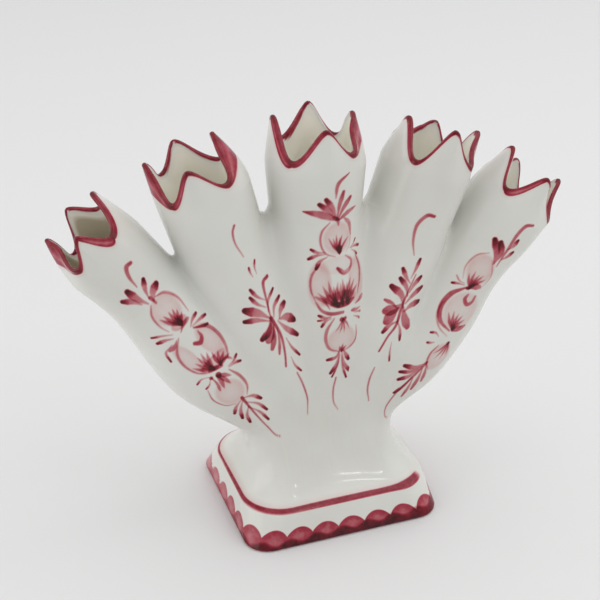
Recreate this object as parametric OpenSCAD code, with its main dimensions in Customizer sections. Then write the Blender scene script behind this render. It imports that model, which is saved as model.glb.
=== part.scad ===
// Quintal vase: five spouts fanned over one water chamber, on a coved rectangular foot.
// Millimetres, Z up, origin on the table under the middle of the foot, front of the vase towards -Y.
// Every spout axis runs through one point above the foot, the fan point; "s" is a distance from it.

/* [Foot] */
// width of the foot where it meets the table
foot_w = 93; // [84:1:120]
// depth of the foot where it meets the table
foot_d = 83; // [76:1:110]
// radius of the upright corners at the table
foot_corner_r = 16; // [13:0.5:22]
// height of the sloped band, table to crimson line
band_h = 15; // [11:0.5:17]
// how far the band leans in on every side
band_in = 4; // [2:0.25:6]
// thickness of the foot wall at the top of the band
foot_wall = 5.5; // [4.5:0.25:8]
// thickness of the floor slab
floor_t = 5; // [3:0.25:6]
// height of the standing ring under the floor slab
floor_lift = 1.5; // [1:0.25:2.5]

/* [Neck] */
// height of the cove between the band and the body
cove_h = 40; // [34:0.5:44]
// width of the cove where it runs out in the body
cove_top_w = 64; // [56:1:68]
// depth of the cove where it runs out in the body
cove_top_d = 36; // [31:0.5:36.5]
// how deeply the cove is dished at the two ends of the fan
cove_sag_w = 4; // [2:0.25:6]
// how deeply it is dished at the front and the back
cove_sag_d = 6; // [3:0.25:7]
// how deeply it is dished at the corners
cove_sag_corner = 8; // [5:0.25:9]

/* [Fan] */
// height of the fan point above the table
fan_z = 18; // [15.5:0.5:21]
// lean of the inner spouts from upright, degrees
inner_lean = 20; // [18.5:0.1:21]
// lean of the outer spouts from upright, degrees
outer_lean = 38.6; // [37.5:0.1:41]
// distance from the fan point to the low points of a crown rim
mouth_s = 152; // [140:1:175]
// rise of the crown points above the low points
crown_h = 15; // [8:0.5:18]
// how quickly the rim rises towards a point, 1 is a straight V
crown_power = 1.5; // [1.1:0.05:2]

/* [Spouts] */
// outer radius of the body lobes at the waist
waist_r = 19.5; // [17:0.25:21]
// distance from the fan point at which the waist ends
waist_s = 36; // [28:1:44]
// distance from the fan point to the joint between body and spouts
joint_s = 50; // [46:1:56]
// outer radius of the spouts at their widest
belly_r = 22.6; // [21:0.2:24]
// distance from the fan point to the widest place
belly_s = 72; // [64:1:80]
// outer radius of the spouts in the throat, level with the notches
throat_r = 19.2; // [18:0.1:20]
// outer radius of the three middle spouts at the mouth
mouth_r = 20.2; // [18:0.1:21.5]
// how much narrower the two outer mouths are, as a radius
outer_mouth_drop = 1.2; // [0:0.1:2]
// thickness of the clay wall
wall = 3.2; // [2.4:0.1:4]

/* [Webs] */
// distance from the fan point to the bottom of a notch
web_s = 124.5; // [123:0.5:132]
// half depth of a web at the notch
web_top_y = 6; // [4:0.25:8]
// how far a web fills the valley at the joint, 1 would be flush with the spouts
web_fill = 0.8; // [0.6:0.05:0.9]

/* [Hidden] */
// facets of every round face
$fn = 180;
// overshoot of a cutter past the face it opens
past = 1;
// upright lip between the crimson line and the start of the cove
lip = 0.6;
// steps along a curved profile
steps = 8;
// reach of a clipping shape past the whole fan
reach = (mouth_s + crown_h) * 1.4;
// half sizes and corner radius at the table
foot_x = foot_w / 2;
foot_y = foot_d / 2;
// half sizes and corner radius at the crimson line
line_x = foot_x - band_in;
line_y = foot_y - band_in;
line_r = foot_corner_r - band_in;
// distance from the axis to the corner of that outline
line_corner = norm([line_x - line_r, line_y - line_r]) + line_r;
// half sizes where the cove runs out
cove_top_x = cove_top_w / 2;
cove_top_y = cove_top_d / 2;
cove_top_corner = norm([cove_top_x, cove_top_y]) * 0.9;
// leans of the five spouts, left to right
leans = [-outer_lean, -inner_lean, 0, inner_lean, outer_lean];
// half angles between neighbours
inner_half = inner_lean / 2;
outer_half = (outer_lean - inner_lean) / 2;
// clip angle for the open side of an outer spout
open_side = 90;
// clip angles of every spout towards its left and its right neighbour
left_clip = [open_side, outer_half, inner_half, inner_half, outer_half];
right_clip = [outer_half, inner_half, inner_half, outer_half, open_side];
// how far the middle of the body lies behind the lobes
middle_in = 0.8;
// how far the middle stops short of the outer axes, degrees
middle_short = 3;
// distance from the fan point at which the end lobes start
end_s = joint_s / 2;
// top of the tube blank a crown is cut from
blank_s = mouth_s + crown_h + past;

// share of the way from a to b, held between 0 and 1
function share(s, a, b) = min(1, max(0, (s - a) / (b - a)));

// outer radius of a lobe or spout; it opens again above the notch, less so by drop
function tube_r(s, drop) =
    s < belly_s
        ? waist_r + (belly_r - waist_r) * (1 - cos(180 * share(s, waist_s, belly_s))) / 2
        : belly_r + (throat_r - belly_r) * share(s, belly_s, web_s)
            + (mouth_r - drop - throat_r) * share(s, web_s, mouth_s);

// half depth of the bare valley between two neighbours, squared; negative past the bare notch
function valley_sq(s, half) = pow(tube_r(s, 0), 2) - pow(s * sin(half), 2);

// half depth of a web: nearly flush with the spouts at the joint, a shallow valley above it
function web_y(s, half) =
    let (low = web_fill * joint_s * sin(half))
    let (swell = low + (web_top_y - low) * share(s, joint_s, web_s))
    sqrt(max(0, valley_sq(s, half)) + pow(swell, 2));

// rectangle with round corners, centred
module round_rect(x, y, r) {
    square([2 * (x - r), 2 * y], center = true);
    square([2 * x, 2 * (y - r)], center = true);
    for (sx = [-1, 1], sy = [-1, 1])
        translate([sx * (x - r), sy * (y - r)])
            circle(r = r);
}

// half of a dished outline: from half width a at the bottom to b at the top, hollowed by sag
module dished(a, b, h, sag) {
    run = a - b;
    chord = norm([run, h]);
    hollow_r = (pow(chord / 2, 2) + pow(sag, 2)) / (2 * sag);
    out = hollow_r - sag;
    difference() {
        translate([0, -past])
            square([a + lip, h + past]);
        translate([(a + b) / 2 + out * h / chord, h / 2 + out * run / chord])
            circle(r = hollow_r);
    }
}

// dished outline on both sides of the middle
module dished_pair(a, b, h, sag) {
    dished(a, b, h, sag);
    mirror([1, 0])
        dished(a, b, h, sag);
}

// coved block between the crimson line and the body, smaller on every side by inset
module neck_block(inset, low) {
    translate([0, 0, band_h])
        intersection() {
            translate([0, 0, -low])
                linear_extrude(height = cove_h + low)
                    round_rect(line_x - inset, line_y - inset, line_r - inset);
            rotate([90, 0, 0])
                linear_extrude(height = 2 * foot_d, center = true)
                    dished_pair(line_x + lip - inset, cove_top_x - inset, cove_h, cove_sag_w);
            rotate([90, 0, 90])
                linear_extrude(height = 2 * foot_w, center = true)
                    dished_pair(line_y + lip - inset, cove_top_y - inset, cove_h, cove_sag_d);
            rotate_extrude()
                dished(line_corner + lip - inset, cove_top_corner - inset, cove_h, cove_sag_corner);
        }
}

// places along a tube where its outline bends
function tube_marks(from_s, to_s) =
    let (swell = [for (i = [0 : steps]) waist_s + (belly_s - waist_s) * i / steps])
    concat(
        [from_s],
        [for (s = concat(swell, [web_s, mouth_s])) if (s > from_s && s < to_s) s],
        [to_s]);

// stretch of tube about the upright axis, s measured along it
module tube(from_s, to_s, drop, inset) {
    rotate_extrude()
        polygon(concat(
            [[0, from_s]],
            [for (s = tube_marks(from_s, to_s)) [tube_r(s, drop) - inset, s]],
            [[0, to_s]]));
}

// sector of the fan about an upright axis, bounded by the planes halfway to the neighbours
module sector(left, right) {
    rotate([90, 0, 0])
        linear_extrude(height = reach, center = true)
            polygon([
                [0, 0],
                [-reach * sin(left), reach * cos(left)],
                [-reach * sin(left), reach],
                [reach * sin(right), reach],
                [reach * sin(right), reach * cos(right)]]);
}

// stands a shape made about the upright axis on the fan point and leans it
module lean(angle) {
    translate([0, 0, fan_z])
        rotate([0, angle, 0])
            children();
}

// round bar about the line through the fan point, front to back
module joint_bar(r) {
    translate([0, 0, fan_z])
        rotate([90, 0, 0])
            cylinder(r = r, h = reach, center = true);
}

// lobe at one end of the body, under an outer spout; it swells out of the middle
module end_lobe(side, to_s, inset) {
    marks = concat([end_s], tube_marks(waist_s, to_s + past));
    intersection() {
        lean(side * outer_lean)
            rotate_extrude()
                polygon(concat(
                    [[0, end_s]],
                    [for (s = marks) [tube_r(s, 0) - inset - (s < waist_s ? 2 * middle_in : 0), s]],
                    [[0, to_s + past]]));
        joint_bar(to_s);
    }
}

// part of the body between the end lobes: a thinner outline swung about the fan point
module fan_middle(to_s, inset) {
    marks = tube_marks(0, to_s);
    half = outer_lean - middle_short;
    translate([0, 0, fan_z])
        rotate([90, 0, 0])
            rotate([0, 0, 90 - half])
                rotate_extrude(angle = 2 * half)
                    polygon(concat(
                        [for (s = marks) [s, middle_in + inset - tube_r(s, 0)]],
                        [for (i = [len(marks) - 1 : -1 : 0]) [marks[i], tube_r(marks[i], 0) - middle_in - inset]]));
}

// waist and chamber, out to the joint and down to the crimson line, longer by extra
module fan_body(inset, extra) {
    intersection() {
        union() {
            fan_middle(joint_s + extra, inset);
            end_lobe(-1, joint_s + extra, inset);
            end_lobe(1, joint_s + extra, inset);
        }
        translate([-reach, -reach, band_h - extra])
            cube(2 * reach);
    }
}

// outline that is cut away above a crown rim, seen along one diagonal
module crown_outline() {
    peak_x = mouth_r * sin(45);
    edge_x = peak_x * 1.3;
    half = 2 * steps;
    polygon(concat(
        [for (i = [-half : half])
            let (x = edge_x * i / half)
            [x, mouth_s + crown_h * pow(abs(x) / peak_x, crown_power)]],
        [[edge_x, reach], [-edge_x, reach]]));
}

// both diagonal cuts of a crown: points to left, right, front and back, dips between
module crown_cut() {
    for (turn = [45, 135])
        rotate([0, 0, turn])
            rotate([90, 0, 0])
                linear_extrude(height = 4 * mouth_r, center = true)
                    crown_outline();
}

// one spout of the fan
module spout(i, drop) {
    color([0.95, 0.95, 0.92])
        difference() {
            lean(leans[i])
                difference() {
                    intersection() {
                        tube(joint_s * 0.8, blank_s, drop, 0);
                        sector(left_clip[i], right_clip[i]);
                    }
                    tube(joint_s * 0.7, blank_s + past, drop, wall);
                    crown_cut();
                }
            joint_bar(joint_s);
        }
}

// web in the valley between spout i and its right neighbour
module web(i) {
    half = (leans[i + 1] - leans[i]) / 2;
    count = 2 * steps;
    start = joint_s * 0.9;
    marks = [for (k = [0 : count]) start + (web_s - start) * k / count];
    color([0.93, 0.93, 0.90])
        difference() {
            lean(leans[i] + half)
                difference() {
                    intersection() {
                        rotate([90, 0, 90])
                            linear_extrude(height = 2 * belly_r, center = true)
                                polygon(concat(
                                    [for (s = marks) [web_y(s, half), s]],
                                    [for (k = [count : -1 : 0]) [-web_y(marks[k], half), marks[k]]]));
                        sector(half, half);
                    }
                    for (side = [-1, 1])
                        rotate([0, side * half, 0])
                            tube(joint_s * 0.7, mouth_s, 0, 0);
                }
            joint_bar(joint_s);
        }
}

// band of the foot, solid: two crossing bars and a round corner in each angle
module band_solid() {
    inner_x = foot_x - foot_corner_r;
    inner_y = foot_y - foot_corner_r;
    rotate([90, 0, 0])
        linear_extrude(height = 2 * inner_y, center = true)
            polygon([[-foot_x, 0], [foot_x, 0], [line_x, band_h], [-line_x, band_h]]);
    rotate([90, 0, 90])
        linear_extrude(height = 2 * inner_x, center = true)
            polygon([[-foot_y, 0], [foot_y, 0], [line_y, band_h], [-line_y, band_h]]);
    for (quarter = [[1, 1, 0], [-1, 1, 90], [-1, -1, 180], [1, -1, 270]])
        translate([quarter[0] * inner_x, quarter[1] * inner_y, 0])
            rotate([0, 0, quarter[2]])
                rotate_extrude(angle = 90)
                    polygon([[0, 0], [foot_corner_r, 0], [line_r, band_h], [0, band_h]]);
}

// opening in the foot that the floor slab closes
module foot_opening(from_z, h) {
    translate([0, 0, from_z])
        linear_extrude(height = h)
            round_rect(line_x - foot_wall, line_y - foot_wall, line_r - foot_wall);
}

// sloped band with the standing ring under it
module foot_plinth() {
    color([0.95, 0.95, 0.92])
        difference() {
            band_solid();
            foot_opening(-past, band_h + 2 * past);
        }
}

// slab that closes the foot
module foot_floor() {
    color([0.90, 0.86, 0.78])
        foot_opening(floor_lift, floor_t);
}

// neck, waist and common water chamber
module body() {
    color([0.94, 0.94, 0.91])
        difference() {
            union() {
                // the neck ends at the joint with the spouts, however high the cove
                intersection() {
                    neck_block(0, 0);
                    joint_bar(joint_s);
                }
                fan_body(0, 0);
            }
            neck_block(wall, past);
            fan_body(wall, past);
        }
}

module left_outer_spout() {
    spout(0, outer_mouth_drop);
}

module left_inner_spout() {
    spout(1, 0);
}

module centre_spout() {
    spout(2, 0);
}

module right_inner_spout() {
    spout(3, 0);
}

module right_outer_spout() {
    spout(4, outer_mouth_drop);
}

module left_outer_web() {
    web(0);
}

module left_inner_web() {
    web(1);
}

module right_inner_web() {
    web(2);
}

module right_outer_web() {
    web(3);
}

foot_plinth();
foot_floor();
body();
left_outer_spout();
left_inner_spout();
centre_spout();
right_inner_spout();
right_outer_spout();
left_outer_web();
left_inner_web();
right_inner_web();
right_outer_web();
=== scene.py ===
"""A five-spout fan vase in white tin glaze with crimson brushwork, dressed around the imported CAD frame."""

import math

import bpy
import numpy as np
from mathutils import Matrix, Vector


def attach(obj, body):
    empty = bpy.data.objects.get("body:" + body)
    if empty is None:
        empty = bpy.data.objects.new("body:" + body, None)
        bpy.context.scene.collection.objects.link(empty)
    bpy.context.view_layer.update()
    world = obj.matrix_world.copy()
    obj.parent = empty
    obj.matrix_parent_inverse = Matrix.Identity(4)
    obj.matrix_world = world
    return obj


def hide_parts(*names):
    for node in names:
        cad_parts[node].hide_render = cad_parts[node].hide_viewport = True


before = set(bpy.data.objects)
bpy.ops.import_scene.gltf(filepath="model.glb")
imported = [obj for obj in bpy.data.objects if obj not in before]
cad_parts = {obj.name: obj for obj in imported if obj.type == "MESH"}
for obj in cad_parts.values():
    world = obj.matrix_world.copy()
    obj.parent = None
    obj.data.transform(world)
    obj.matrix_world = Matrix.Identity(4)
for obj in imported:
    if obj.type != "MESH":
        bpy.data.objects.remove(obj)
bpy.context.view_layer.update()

MM = 0.001
LEAST = 1e-12  # keeps divisions off zero

# The fan of spouts, in millimetres, as in the part's source; other tables of spouts keep this order
SPOUTS = ("left_outer", "left_inner", "centre", "right_inner", "right_outer")
WEBS = ("left_outer", "left_inner", "right_inner", "right_outer")
LEANS = (-38.6, -20.0, 0.0, 20.0, 38.6)
FAN_Z = 18.0
WAIST_R, WAIST_S = 19.5, 36.0
BELLY_R, BELLY_S = 22.6, 72.0
THROAT_R, MOUTH_S = 19.46, 152.0
BELLY_FULLNESS = 0.3
WALL = 3.2
NOTCH_S = 124.5
JOINT_S = 50.0

# How the clay is smoothed where the spouts meet each other and the neck
LOW_S = 42.0
VALLEY_FILL = 0.9
NOTCH_FADE = 9.0

# Where the skin is looked for: share of the tube's radius, millimetres past it, and how many halvings
SEARCH_IN, SEARCH_OUT, HALVINGS = 0.6, 7.0, 34

# The outward flank of the outer spouts, slimmer than round: how much at the waist and up to where,
# then how much at the throat, where, and how far along
FLANKS = {
    "left_outer": (5.6, 84.0, 4.2, 126.0, 28.0),
    "right_outer": (4.9, 62.0, 4.8, 114.0, 14.0),
}

# How much wider than its throat each mouth is, towards the front, right, back and left
FLARE = (
    (0.2, 0.9, 0.2, -0.3),
    (0.8, 2.6, 0.8, -1.2),
    (1.2, 1.9, 1.2, 1.9),
    (0.6, 0.3, 0.6, 1.1),
    (-0.4, -0.6, -0.4, 1.8),
)
FLARE_FROM_S = 116.0

# Crown rims, pinched by hand: turn in degrees, height above the mouth and how far it is bent inwards, for the
# front peak and then each dip and peak in turn, going round by the right
CROWNS = (
    ((6, 15.2, 1.0), (36, 5.1, 0), (89, 17.6, 3.7), (146, 5.1, 0),
     (177, 12.8, 0.7), (211, -2.4, 0), (264, 15.4, 7.4), (339, 4.9, 0)),
    ((-7, 12.7, 0.6), (31, 0.6, 0), (94, 15.2, 6.9), (135, -1.9, 0),
     (180, 11.9, 0.9), (211, 2.1, 0), (270, 15.5, 2.0), (318, 0.7, 0)),
    ((-5, 12.8, 1.0), (29, 1.9, 0), (96, 12.7, 4.1), (138, -0.8, 0),
     (172, 13.1, 1.1), (208, -0.7, 0), (272, 15.0, 2.2), (315, -0.3, 0)),
    ((-8, 15.7, 1.6), (38, 2.6, 0), (91, 14.7, 1.1), (128, 0.0, 0),
     (161, 11.0, 1.6), (215, 1.0, 0), (276, 13.4, 3.0), (318, -0.9, 0)),
    ((-12, 13.6, 2.2), (45, -0.4, 0), (94, 16.6, 4.1), (136, 0.0, 0),
     (179, 12.7, 0.9), (222, 0.0, 0), (275, 15.6, 2.2), (310, 0.1, 0)),
)
TIP_ROUNDING, DIP_ROUNDING = 0.34, 0.36
BENT_FROM_S, BEND_POWER = 145.0, 1.4
MOUTH_R = 20.2

# How nearly straight the rim runs from dip to peak, on the right and on the left side of each mouth
STRAIGHTNESS = ((0.1, 0.9), (0.8, 0.7), (1.05, 0.6), (1.25, 0.8), (1.2, 0.8))

# The lip, its height as a share of its thickness, and the bore below it, which thickens to the wall
LIP, LIP_RISE = 2.1, 0.45
LIP_BLEND = 12
BORE_END_S = 58.0
BORE_GAP = 0.2

# Painted light and shade in the bores, a warm tone that lightens the glaze there and darkens it in the left
# outer spout: how deep a tone, and where below the rim it starts and is full
BORE_LIGHT_SHADE, BORE_LIGHT_SHADE_LEFT_OUTER = 0.5, 1.0
BORE_LIGHT_SHADE_FROM, BORE_LIGHT_SHADE_FULL = 0.4, 6.0

# Width of the crimson along each crown, in eight brush strokes going round from the front to the right
RIM_STROKES = (
    (4.6, 2.0, 2.0, 2.0, 2.0, 1.8, 5.0, 1.6),
    (0.7, 5.0, 2.0, 2.0, 2.4, 2.0, 5.0, 2.8),
    (0.2, 5.0, 0.3, 0.3, 4.2, 2.0, 4.2, 2.4),
    (0.8, 4.6, 2.0, 1.8, 2.4, 1.8, 2.0, 1.3),
    (0.1, 4.6, 1.2, 1.4, 1.2, 1.0, 0.5, 4.0),
)
END_AT_PEAK, END_AT_DIP, STROKE_FULLNESS = 0.7, 1.4, 0.8
RIM_TONE, RIM_END_TONE, RIM_MIDDLE_TONE = 1.1, 0.3, 0.5
STROKE_ENDS = 0.16
BROAD_FROM, BROAD_FULL = 1.0, 3.0
RIM_HAZE, RIM_HAZE_REACH = 0.06, 2.4
PAINTED = 0.02

# The share of a stroke's width that goes over to the inside, and how much of the lip it covers
INSIDE_FRONT, INSIDE_BACK = 0.12, 0.8
LIP_FRONT, LIP_BACK, LIP_WHOLE = 0.3, 0.6, 1.1
LIP_LEAST, LIP_FULL, LIP_SOFT = 0.2, 1.3, 0.25

# The strokes that fill the whole side of a peak, down to about the level of its dip
BLADES = ((6,), (1, 6), (1,), (1,), (1,))
BLADE_SHARE, BLADE_WRAP, BLADE_TAPER = 0.7, 0.5, 1.5

# The foot: half sizes and corner radius at the crimson line and on the table; luted on slightly askew
LINE_X, LINE_Y, LINE_R, LINE_Z = 43.6, 36.0, 19.0, 15.3
BASE_X, BASE_Y, BASE_R = 46.3, 41.2, 11.5
FOOT_TURN, FOOT_X, FOOT_Y = 2.5, 1.5, -1.5
FOOT_WALL = 5.5
SEAM_IN, SEAM_UP = 0.9, 0.5
FLARE_SLOPE = 26.0
FLARE_PULL, NECK_PULL = 1.05, 1.0
PROBE = 1.0  # how far out the way out is felt

# Sections of the foot's edge at the table, then of the arris at the crimson line: how far out, the height,
# and for the edge the share of the way from the line to the table
FOOT_EDGE = (
    (-FOOT_WALL, 1.5, 1.0), (-FOOT_WALL, 0.3, 1.0), (0.4 - FOOT_WALL, 0.0, 1.0), (-1.6, 0.0, 1.0),
    (-0.8, 0.15, 1.0), (-0.25, 0.6, 1.0), (0.0, 1.2, 0.97),
)
TABLE_ROW = 4
BAND_SHORT, BAND_TOP = 2.0, 0.04
ARRIS = ((-0.1, -0.35), (-0.4, 0.2))

# The crimson line: widths at the front and the sides, then where on the right it stops, and its blob there
LINE_WIDTH, LINE_WIDTH_SIDE = 2.8, 1.1
FRONT_FROM, FRONT_FULL = -0.2, 0.9
LINE_END, LINE_FADE = -0.85, 0.06
LINE_STOP, LINE_STOP_AT, LINE_STOP_REACH = 2.4, 0.1, 0.14
HAZE, HAZE_REACH = 0.13, 5.0

# Scalloped border, in shares of a petal's pitch and of the band's height, and how uneven the hand is
SCALLOPS = 26
SCALLOP_START, SCALLOP_HALF, SCALLOP_TOP = 0.7, 0.6, 0.56
UNEVEN_PLACE, UNEVEN_WIDTH, UNEVEN_HEIGHT = 0.1, 0.05, 0.07
PETAL_TONE, PETAL_TONE_SIDE, PETAL_EDGE = 0.95, 0.72, 0.014
PALE_TONE, PALE_WIDTH, PALE_UP, PALE_HEIGHT = 0.28, 0.55, 0.28, 0.16
WAVE_TONE, WAVE_TONE_SIDE, WAVE_EDGE = 0.7, 0.3, 0.05
WAVE_UP, WAVE_TILT, WAVE_RISE = 0.24, 0.07, 0.06
BARE_BELOW, PAINTED_ABOVE = 0.015, 0.05

# Mesh density
FRONT_COLUMNS, BACK_COLUMNS = 190, 52
WEB_COLUMNS, WEB_COLUMNS_LEAST = 14, 4
ROW_STEP = 0.32
NOTCH_ZONE, NOTCH_ROWS = 2.4, 13
RIM_ZONE, RIM_ZONE_ROWS, RIM_ROWS = 0.07, 11, 90
LIP_ROWS, BORE_ROWS, BORE_CROWDING = 9, 46, 1.3
NECK_ROWS, NECK_CROWDING = 56, 0.72
BAND_ROWS = 60

# The brush: how sharply a stroke ends, in millimetres, and widths and tones along each kind of stroke
SOFT = 0.38
ROUND_LEAF = (0.18, 0.45, 0.8, 1.0, 0.62)
POINTED_LEAF = (0.3, 0.8, 1.0, 0.7, 0.12)
LEAF_TONES = (0.48, 0.46, 0.54, 1.75)
HAIR_TONES, HAIR_BEND = (0.95, 0.7, 0.45), 0.05
RING_WIDTHS, RING_TONES = (0.35, 1.0, 1.0, 0.8, 0.3), (1.0, 1.0, 0.8)
WASH_OUT, WASH_IN, WASH_MIDDLE = 1.12, 0.78, 0.45
BEAD_PULL = 0.1
CURVE_POINTS = 10

# Glaze, clay and table: screen colours by position on their ramps, roughness, and scales of unevenness
COATS = ((0.0, "FFFFFF"), (0.1, "F4D2D4"), (0.25, "DC8792"),
         (0.42, "BC3E55"), (0.62, "8E1228"), (0.85, "480510"))
WHITES = ((0.3, "D5D4CD"), (0.7, "DCDCD7"))
# painted light and shade in the bores: a warm tone lighter than the white glaze midway along, darker at the
# far end
BORE_LIGHT_SHADE_RAMP = ((0.0, "E4E3DC"), (0.5, "F0EDE0"), (1.0, "BEB49E"))
BORE_LIGHT_SHADE_ONSET = 6.0
COAT_LEAST, COAT_RANGE = 0.35, 0.3
GLAZE_ROUGHNESS, GLAZE_SPECULAR = 0.12, 0.32
STREAK_SCALE, CLOUD_SCALE, RIPPLE_SCALE = 420.0, 28.0, 90.0
RIPPLE_STRENGTH, RIPPLE_HEIGHT = 0.08, 0.0006
CLAYS = ((0.0, "D6C8B2"), (1.0, "E8DECC"))
CLAY_ROUGHNESS, CLAY_SCALE = 0.85, 220.0
TABLE_COLOUR, TABLE_ROUGHNESS, TABLE_HALF = "DFDFDF", 0.7, 4.0

# Light of the studio walls, before and behind the vase, and the lamps: place, size in metres, and watts
STUDIO_FRONT, STUDIO_BACK = 0.52, 0.88
LAMPS = {
    "top_screen": ((0.1, 0.2, 2.0), (2.2, 2.2), 9.0),
    "right_screen": ((1.3, -0.4, 1.3), (2.0, 2.0), 10.0),
    "left_screen": ((-1.8, -0.1, 0.6), (2.0, 1.2), 9.0),
    "upper_tube": ((0.58, -1.25, 1.5), (0.1, 0.05), 0.42),
    "lower_tube": ((0.45, -1.25, 0.93), (0.1, 0.05), 0.42),
}
LAMP_AIM = (0, 0, 0.09)

# The photograph's view
EYE, AIM = (-144.39, -441.05, 338.29), (-6.11, 1.91, 98.09)
SENSOR, LENS = 36.0, 71.245


def share(x, a, b):
    """how far x is from a to b, held between 0 and 1"""
    return np.clip((x - a) / (b - a), 0.0, 1.0)


def ease(t):
    return t * t * (3.0 - 2.0 * t)


def half_angle(i, n):
    """half the angle between two neighbouring spouts, in radians"""
    return math.radians(abs(LEANS[n] - LEANS[i]) / 2)


def neighbours(i):
    """(side, number) of the spouts beside this one; side is -1 on the left and 1 on the right"""
    return [(n - i, n) for n in (i - 1, i + 1) if 0 <= n < len(SPOUTS)]


def tube_r(s):
    """outside radius of a spout at a distance s from the fan point, without the flare of its mouth"""
    low = WAIST_R + (BELLY_R - WAIST_R) * (1 - np.cos(np.pi * share(s, WAIST_S, BELLY_S))) / 2
    t = share(s, BELLY_S, NOTCH_S)
    high = BELLY_R + (THROAT_R - BELLY_R) * (1 + BELLY_FULLNESS) * t * t / (BELLY_FULLNESS + t)
    return np.where(s < BELLY_S, low, high)


def flare(i, s, turn):
    """how far the mouth opens past the throat"""
    front, right, back, left = FLARE[i]
    c, n = np.cos(turn), np.sin(turn)
    wide = front * np.maximum(c, 0) ** 2 + back * np.maximum(-c, 0) ** 2
    wide = wide + right * np.maximum(n, 0) ** 2 + left * np.maximum(-n, 0) ** 2
    return wide * ease(share(s, FLARE_FROM_S, MOUTH_S))


def fill(s, half):
    """how far the clay in the valley stands out over the two tubes; they just part at the notch"""
    part = NOTCH_S * math.tan(half) - float(tube_r(np.array(NOTCH_S)))
    below = VALLEY_FILL + (part - VALLEY_FILL) * ease(share(s, JOINT_S, NOTCH_S))
    above = part * np.exp(-np.maximum(s - NOTCH_S, 0.0) / NOTCH_FADE)
    return np.where(s < NOTCH_S, below, above)


def soft_union(a, b, k):
    h = np.maximum(4 * k - np.abs(a - b), 0.0) / (4 * k)
    return np.minimum(a, b) - h * h * k


def upright(i, s, u):
    """place across the fan and height above the fan point; s runs along the spout, u to its right"""
    a = math.radians(LEANS[i])
    return s * math.sin(a) + u * math.cos(a), s * math.cos(a) - u * math.sin(a)


def skin_field(i, s, u, w):
    """below zero inside the clay; w runs to the back"""
    x, z = upright(i, s, u)
    value = np.hypot(u, w) - tube_r(s)
    for _, n in neighbours(i):
        b = math.radians(LEANS[n])
        other_s, other_u = x * math.sin(b) + z * math.cos(b), x * math.cos(b) - z * math.sin(b)
        other = np.hypot(other_u, w) - tube_r(other_s)
        value = soft_union(value, other, fill((s + other_s) / 2, half_angle(i, n)))
    return value


def skin_r(i, s, turn):
    """distance of the outer skin from the spout's axis; turn is 0 at the front and positive to the right"""
    low, high = SEARCH_IN * tube_r(s), tube_r(s) + SEARCH_OUT
    for side, n in neighbours(i):
        towards = side * np.sin(turn)
        plane = s * math.tan(half_angle(i, n)) / np.maximum(towards, LEAST)
        high = np.where(towards > LEAST, np.minimum(high, plane), high)
    for _ in range(HALVINGS):
        middle = (low + high) / 2
        inside = skin_field(i, s, middle * np.sin(turn), -middle * np.cos(turn)) < 0
        low, high = np.where(inside, middle, low), np.where(inside, high, middle)
    return (low + high) / 2 - slimmer(i, s, turn)


def slimmer(i, s, turn):
    """how far the outward flank of an outer spout lies inside the round tube"""
    if SPOUTS[i] not in FLANKS:
        return np.zeros_like(s * turn)
    waist, waist_end, throat, throat_s, reach = FLANKS[SPOUTS[i]]
    outward = np.maximum(np.sin(turn) * math.copysign(1, LEANS[i]), 0.0)
    at_waist = waist * (1 - ease(share(s, WAIST_S, waist_end)))
    at_throat = throat * np.exp(-(((s - throat_s) / reach) ** 2))
    return (at_waist + at_throat) * outward**2


def valley_turn(i, side, s):
    """angle at which the skin reaches the plane between this spout and its neighbour on that side"""
    found = [n for where, n in neighbours(i) if where == side]
    if not found:
        return np.full_like(s, math.pi / 2)
    half = half_angle(i, found[0])
    reach = s * math.tan(half)
    depth = np.sqrt(np.maximum((tube_r(s) + fill(s, half)) ** 2 - reach**2, 0.0))
    return np.where(s >= NOTCH_S - LEAST, math.pi / 2, np.arctan2(reach, depth))


def crown(i):
    """turns, heights and bends of the crown points of one spout"""
    return np.array(CROWNS[i], float)


def crown_place(i, turn):
    """numbers of the stroke, its peak and its dip; then the ways along the stroke and from dip to peak"""
    turns = np.radians(crown(i)[:, 0])
    starts = np.append(turns, turns[0] + 2 * math.pi) - turns[0]
    moved = (turn - turns[0]) % (2 * math.pi)
    number = np.clip(np.searchsorted(starts, moved, side="right") - 1, 0, len(turns) - 1)
    way = (moved - starts[number]) / (starts[number + 1] - starts[number])
    falling = number % 2 == 0
    peak = np.where(falling, number, (number + 1) % len(turns))
    dip = np.where(falling, number + 1, number)
    return number, peak, dip, way, np.where(falling, 1 - way, way)


def rim_s(i, turn):
    """how far up the crown rim stands at this angle"""
    heights = crown(i)[:, 1]
    _, peak, dip, _, along = crown_place(i, turn)
    rise = (np.hypot(along, DIP_ROUNDING) - DIP_ROUNDING) / (math.hypot(1, DIP_ROUNDING) - DIP_ROUNDING)
    foot = math.hypot(1, TIP_ROUNDING)
    rise = (foot - np.hypot(1 - rise, TIP_ROUNDING)) / (foot - TIP_ROUNDING)
    return MOUTH_S + heights[dip] + (heights[peak] - heights[dip]) * rise


def bent_in(i, s, turn):
    """how far the pinched rim leans towards the axis: it runs nearly straight from each dip to its peak"""
    turns, _, bends = crown(i).T
    _, peak, dip, _, along = crown_place(i, turn)
    span = np.radians(np.abs(turns[peak] - turns[dip]))
    span = np.minimum(span, 2 * math.pi - span)
    eased = ease(along)
    right, left = STRAIGHTNESS[i]
    bulge = MOUTH_R * (1 - np.cos(span / 2)) * 4 * eased * (1 - eased)
    straight = np.where(np.sin(turn) > 0, right, left) * bulge
    return (bends[peak] * eased + straight) * share(s, BENT_FROM_S, rim_s(i, turn)) ** BEND_POWER


def place(i, s, r, turn):
    """points in millimetres in the part's frame"""
    x, z = upright(i, s, r * np.sin(turn))
    return np.stack([x, -r * np.cos(turn), FAN_Z + z], axis=-1)


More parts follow.
